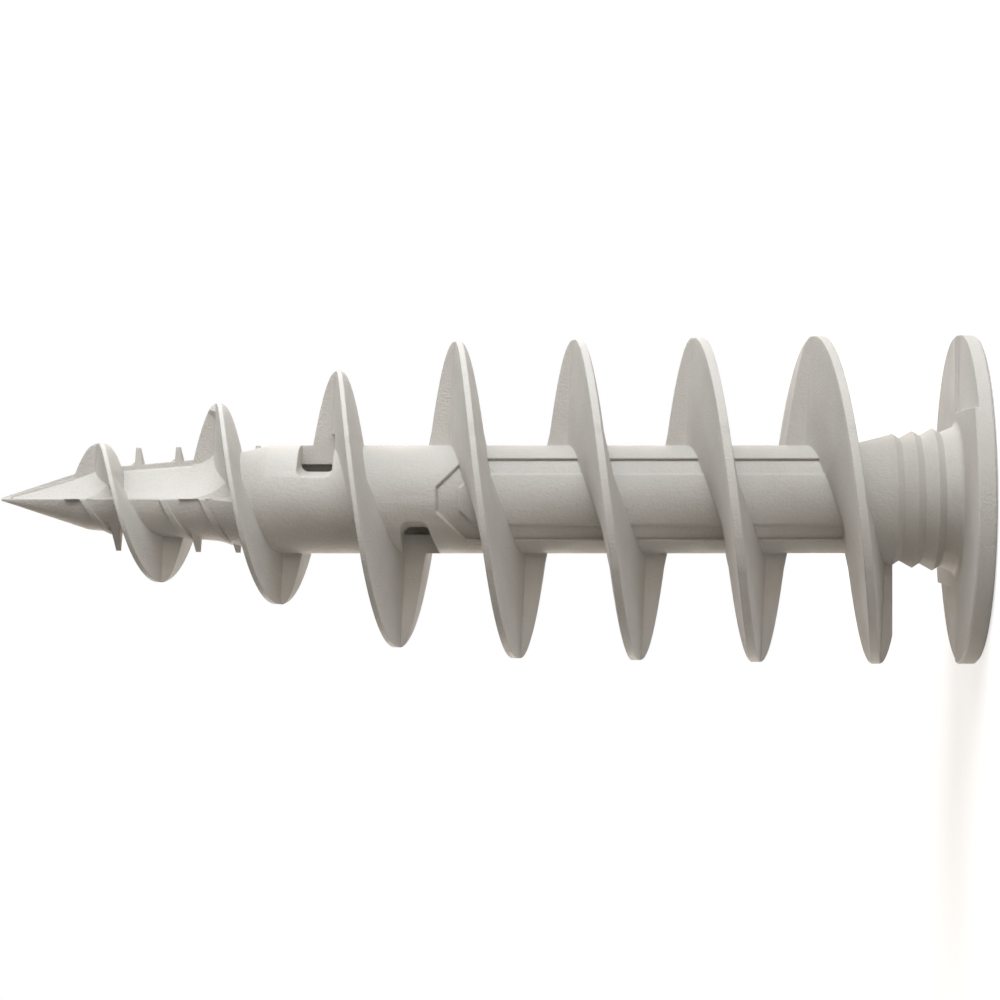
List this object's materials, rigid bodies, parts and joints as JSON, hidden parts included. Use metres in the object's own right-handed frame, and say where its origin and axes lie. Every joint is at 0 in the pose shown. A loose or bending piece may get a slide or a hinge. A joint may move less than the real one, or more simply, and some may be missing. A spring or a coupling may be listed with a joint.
{
  "type": "insulation anchor",
  "caption": "Self-drilling moulded plastic insulation anchor: round flange head, six-lobe drive channel, tapered spiral flight and drill point.",
  "frame": {"origin": "centre of the outer face of the flange head, on which the anchor stands", "axes": "+Z along the axis from the flange head to the drill point; +X on the side where the first crest of the spiral crosses the mould parting plane; -Y towards the front of the picture"},
  "size_m": [0.0304, 0.0304, 0.09],
  "materials": {
    "nylon": "matt moulded glass-filled nylon, light warm grey"
  },
  "bodies": {
    "root": {"anchor_body": "nylon"}
  },
  "joints": []
}
